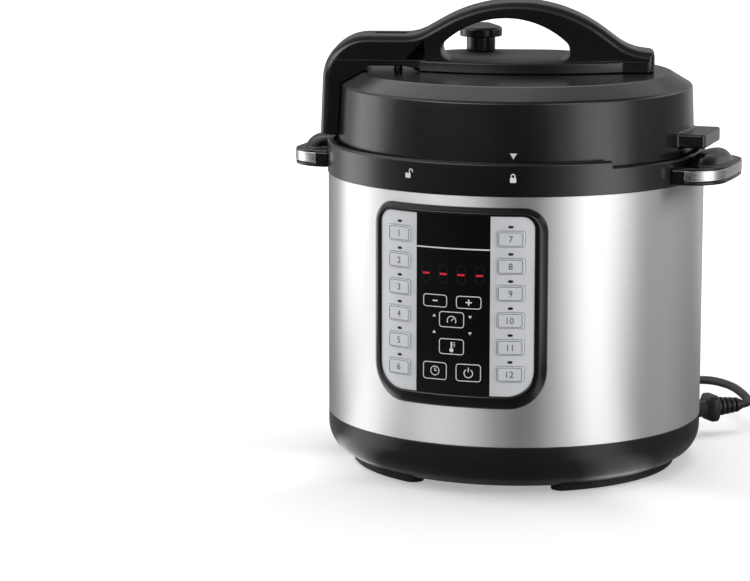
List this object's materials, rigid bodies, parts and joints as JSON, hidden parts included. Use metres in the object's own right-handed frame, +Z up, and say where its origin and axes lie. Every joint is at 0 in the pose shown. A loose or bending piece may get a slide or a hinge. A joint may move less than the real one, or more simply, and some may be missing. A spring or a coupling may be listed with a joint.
{
  "type": "electric pressure cooker",
  "caption": "Round electric pressure cooker with a brushed steel body, twist-lock lid with arched handle, steam valve, removable pot and a curved front key panel.",
  "frame": {"origin": "on the floor under the axis of the lid", "axes": "+Z up, -Y to the front (control panel), +X to the right seen from the front"},
  "size_m": [0.3234, 0.3967, 0.3331],
  "materials": {
    "black_plastic": "satin",
    "feet_rubber": "matt",
    "screw_steel": "plated",
    "brushed_steel": "brushed round",
    "chrome": "polished",
    "pressed_steel": "satin",
    "pot_steel": "satin",
    "cast_aluminium": "cast",
    "circuit_board": "satin",
    "silver_plastic": "satin silver",
    "panel_gloss": "gloss",
    "key_plastic": "satin silver",
    "plated_brass": "nickel plated",
    "clear_plastic": "clear moulded plastic",
    "silicone": "matt",
    "cord_rubber": "satin",
    "tie_fabric": "woven"
  },
  "bodies": {
    "housing": {"base_shell": "black_plastic", "feet": "feet_rubber", "bottom_plate": "black_plastic", "base_screws": "screw_steel", "steel_body": "brushed_steel", "collar": "black_plastic", "side_handle_left": "black_plastic", "side_handle_right": "black_plastic", "handle_trim_left": "chrome", "handle_trim_right": "chrome", "outer_pot": "pressed_steel", "lock_ring": "pressed_steel", "heating_plate": "cast_aluminium", "sensor_spring": "screw_steel", "pressure_switch": "black_plastic", "power_board": "circuit_board", "control_board": "circuit_board", "panel_bezel": "black_plastic", "key_strip_left": "silver_plastic", "key_strip_right": "silver_plastic", "centre_panel": "panel_gloss", "inlet_socket": "black_plastic", "inlet_pins": "plated_brass", "cord_connector": "cord_rubber", "cord_lead": "cord_rubber", "cord_coil": "cord_rubber", "wall_plug": "cord_rubber", "plug_blades": "plated_brass", "cord_tie": "tie_fabric"},
    "seal": {"sealing_ring": "silicone"},
    "lid": {"lid_cover": "black_plastic", "lid_handle": "black_plastic", "lid_plate": "pressed_steel", "gasket_rack": "pressed_steel", "vent_pipe": "pressed_steel", "vent_shield": "pressed_steel", "lid_screws": "screw_steel"},
    "steam_valve": {"steam_valve": "black_plastic"},
    "float_valve": {"float_valve": "pressed_steel"},
    "pot": {"cooking_pot": "pot_steel"},
    "sensor": {"temperature_sensor": "cast_aluminium"},
    "cup": {"condensation_cup": "clear_plastic"},
    "key_l1": {"key_l1": "key_plastic"},
    "key_l2": {"key_l2": "key_plastic"},
    "key_l3": {"key_l3": "key_plastic"},
    "key_l4": {"key_l4": "key_plastic"},
    "key_l5": {"key_l5": "key_plastic"},
    "key_l6": {"key_l6": "key_plastic"},
    "key_r1": {"key_r1": "key_plastic"},
    "key_r2": {"key_r2": "key_plastic"},
    "key_r3": {"key_r3": "key_plastic"},
    "key_r4": {"key_r4": "key_plastic"},
    "key_r5": {"key_r5": "key_plastic"},
    "key_r6": {"key_r6": "key_plastic"},
    "key_minus": {"key_minus": "panel_gloss"},
    "key_plus": {"key_plus": "panel_gloss"},
    "key_pressure": {"key_pressure": "panel_gloss"},
    "key_temperature": {"key_temperature": "panel_gloss"},
    "key_delay": {"key_delay": "panel_gloss"},
    "key_start": {"key_start": "panel_gloss"}
  },
  "joints": [
    {"name": "lid_lift", "type": "slide", "parent": "housing", "child": "seal", "axis": [0, 0, 1], "range_m": [0, 0.38]},
    {"name": "lid_turn", "type": "hinge", "parent": "seal", "child": "lid", "pos_m": [0, 0, 0.25], "axis": [0, 0, 1], "range_deg": [-32, 0]},
    {"name": "pot_lift", "type": "slide", "parent": "housing", "child": "pot", "axis": [0, 0, 1], "range_m": [0, 0.19]},
    {"name": "valve_turn", "type": "hinge", "parent": "lid", "child": "steam_valve", "pos_m": [-0.04315, 0.04781, 0.3], "axis": [0, 0, 1], "range_deg": [-40, 0]},
    {"name": "float_rise", "type": "slide", "parent": "lid", "child": "float_valve", "axis": [0, 0, 1], "range_m": [0, 0.006]},
    {"name": "sensor_press", "type": "slide", "parent": "housing", "child": "sensor", "axis": [0, 0, -1], "range_m": [0, 0.003], "stiffness_N_per_m": 400, "springref_m": -0.003, "deforming": ["sensor_spring"]},
    {"name": "cup_pull", "type": "slide", "parent": "housing", "child": "cup", "axis": [0, 1, 0], "range_m": [0, 0.03]},
    {"name": "key_l1_press", "type": "slide", "parent": "housing", "child": "key_l1", "axis": [0.2924, 0.9563, 0], "range_m": [0, 0.0008], "stiffness_N_per_m": 300, "springref_m": -0.0005},
    {"name": "key_l2_press", "type": "slide", "parent": "housing", "child": "key_l2", "axis": [0.2924, 0.9563, 0], "range_m": [0, 0.0008], "stiffness_N_per_m": 300, "springref_m": -0.0005},
    {"name": "key_l3_press", "type": "slide", "parent": "housing", "child": "key_l3", "axis": [0.2924, 0.9563, 0], "range_m": [0, 0.0008], "stiffness_N_per_m": 300, "springref_m": -0.0005},
    {"name": "key_l4_press", "type": "slide", "parent": "housing", "child": "key_l4", "axis": [0.2924, 0.9563, 0], "range_m": [0, 0.0008], "stiffness_N_per_m": 300, "springref_m": -0.0005},
    {"name": "key_l5_press", "type": "slide", "parent": "housing", "child": "key_l5", "axis": [0.2924, 0.9563, 0], "range_m": [0, 0.0008], "stiffness_N_per_m": 300, "springref_m": -0.0005},
    {"name": "key_l6_press", "type": "slide", "parent": "housing", "child": "key_l6", "axis": [0.2924, 0.9563, 0], "range_m": [0, 0.0008], "stiffness_N_per_m": 300, "springref_m": -0.0005},
    {"name": "key_r1_press", "type": "slide", "parent": "housing", "child": "key_r1", "axis": [-0.2924, 0.9563, 0], "range_m": [0, 0.0008], "stiffness_N_per_m": 300, "springref_m": -0.0005},
    {"name": "key_r2_press", "type": "slide", "parent": "housing", "child": "key_r2", "axis": [-0.2924, 0.9563, 0], "range_m": [0, 0.0008], "stiffness_N_per_m": 300, "springref_m": -0.0005},
    {"name": "key_r3_press", "type": "slide", "parent": "housing", "child": "key_r3", "axis": [-0.2924, 0.9563, 0], "range_m": [0, 0.0008], "stiffness_N_per_m": 300, "springref_m": -0.0005},
    {"name": "key_r4_press", "type": "slide", "parent": "housing", "child": "key_r4", "axis": [-0.2924, 0.9563, 0], "range_m": [0, 0.0008], "stiffness_N_per_m": 300, "springref_m": -0.0005},
    {"name": "key_r5_press", "type": "slide", "parent": "housing", "child": "key_r5", "axis": [-0.2924, 0.9563, 0], "range_m": [0, 0.0008], "stiffness_N_per_m": 300, "springref_m": -0.0005},
    {"name": "key_r6_press", "type": "slide", "parent": "housing", "child": "key_r6", "axis": [-0.2924, 0.9563, 0], "range_m": [0, 0.0008], "stiffness_N_per_m": 300, "springref_m": -0.0005},
    {"name": "key_minus_press", "type": "slide", "parent": "housing", "child": "key_minus", "axis": [0.0882, 0.9961, 0], "range_m": [0, 0.0008], "stiffness_N_per_m": 300, "springref_m": -0.0005},
    {"name": "key_plus_press", "type": "slide", "parent": "housing", "child": "key_plus", "axis": [-0.0882, 0.9961, 0], "range_m": [0, 0.0008], "stiffness_N_per_m": 300, "springref_m": -0.0005},
    {"name": "key_pressure_press", "type": "slide", "parent": "housing", "child": "key_pressure", "axis": [0, 1, 0], "range_m": [0, 0.0008], "stiffness_N_per_m": 300, "springref_m": -0.0005},
    {"name": "key_temperature_press", "type": "slide", "parent": "housing", "child": "key_temperature", "axis": [0, 1, 0], "range_m": [0, 0.0008], "stiffness_N_per_m": 300, "springref_m": -0.0005},
    {"name": "key_delay_press", "type": "slide", "parent": "housing", "child": "key_delay", "axis": [0.0882, 0.9961, 0], "range_m": [0, 0.0008], "stiffness_N_per_m": 300, "springref_m": -0.0005},
    {"name": "key_start_press", "type": "slide", "parent": "housing", "child": "key_start", "axis": [-0.0882, 0.9961, 0], "range_m": [0, 0.0008], "stiffness_N_per_m": 300, "springref_m": -0.0005}
  ],
  "couplings": [
    {"joint": "pot_lift", "follows": "lid_lift", "ratio": 0.5}
  ]
}
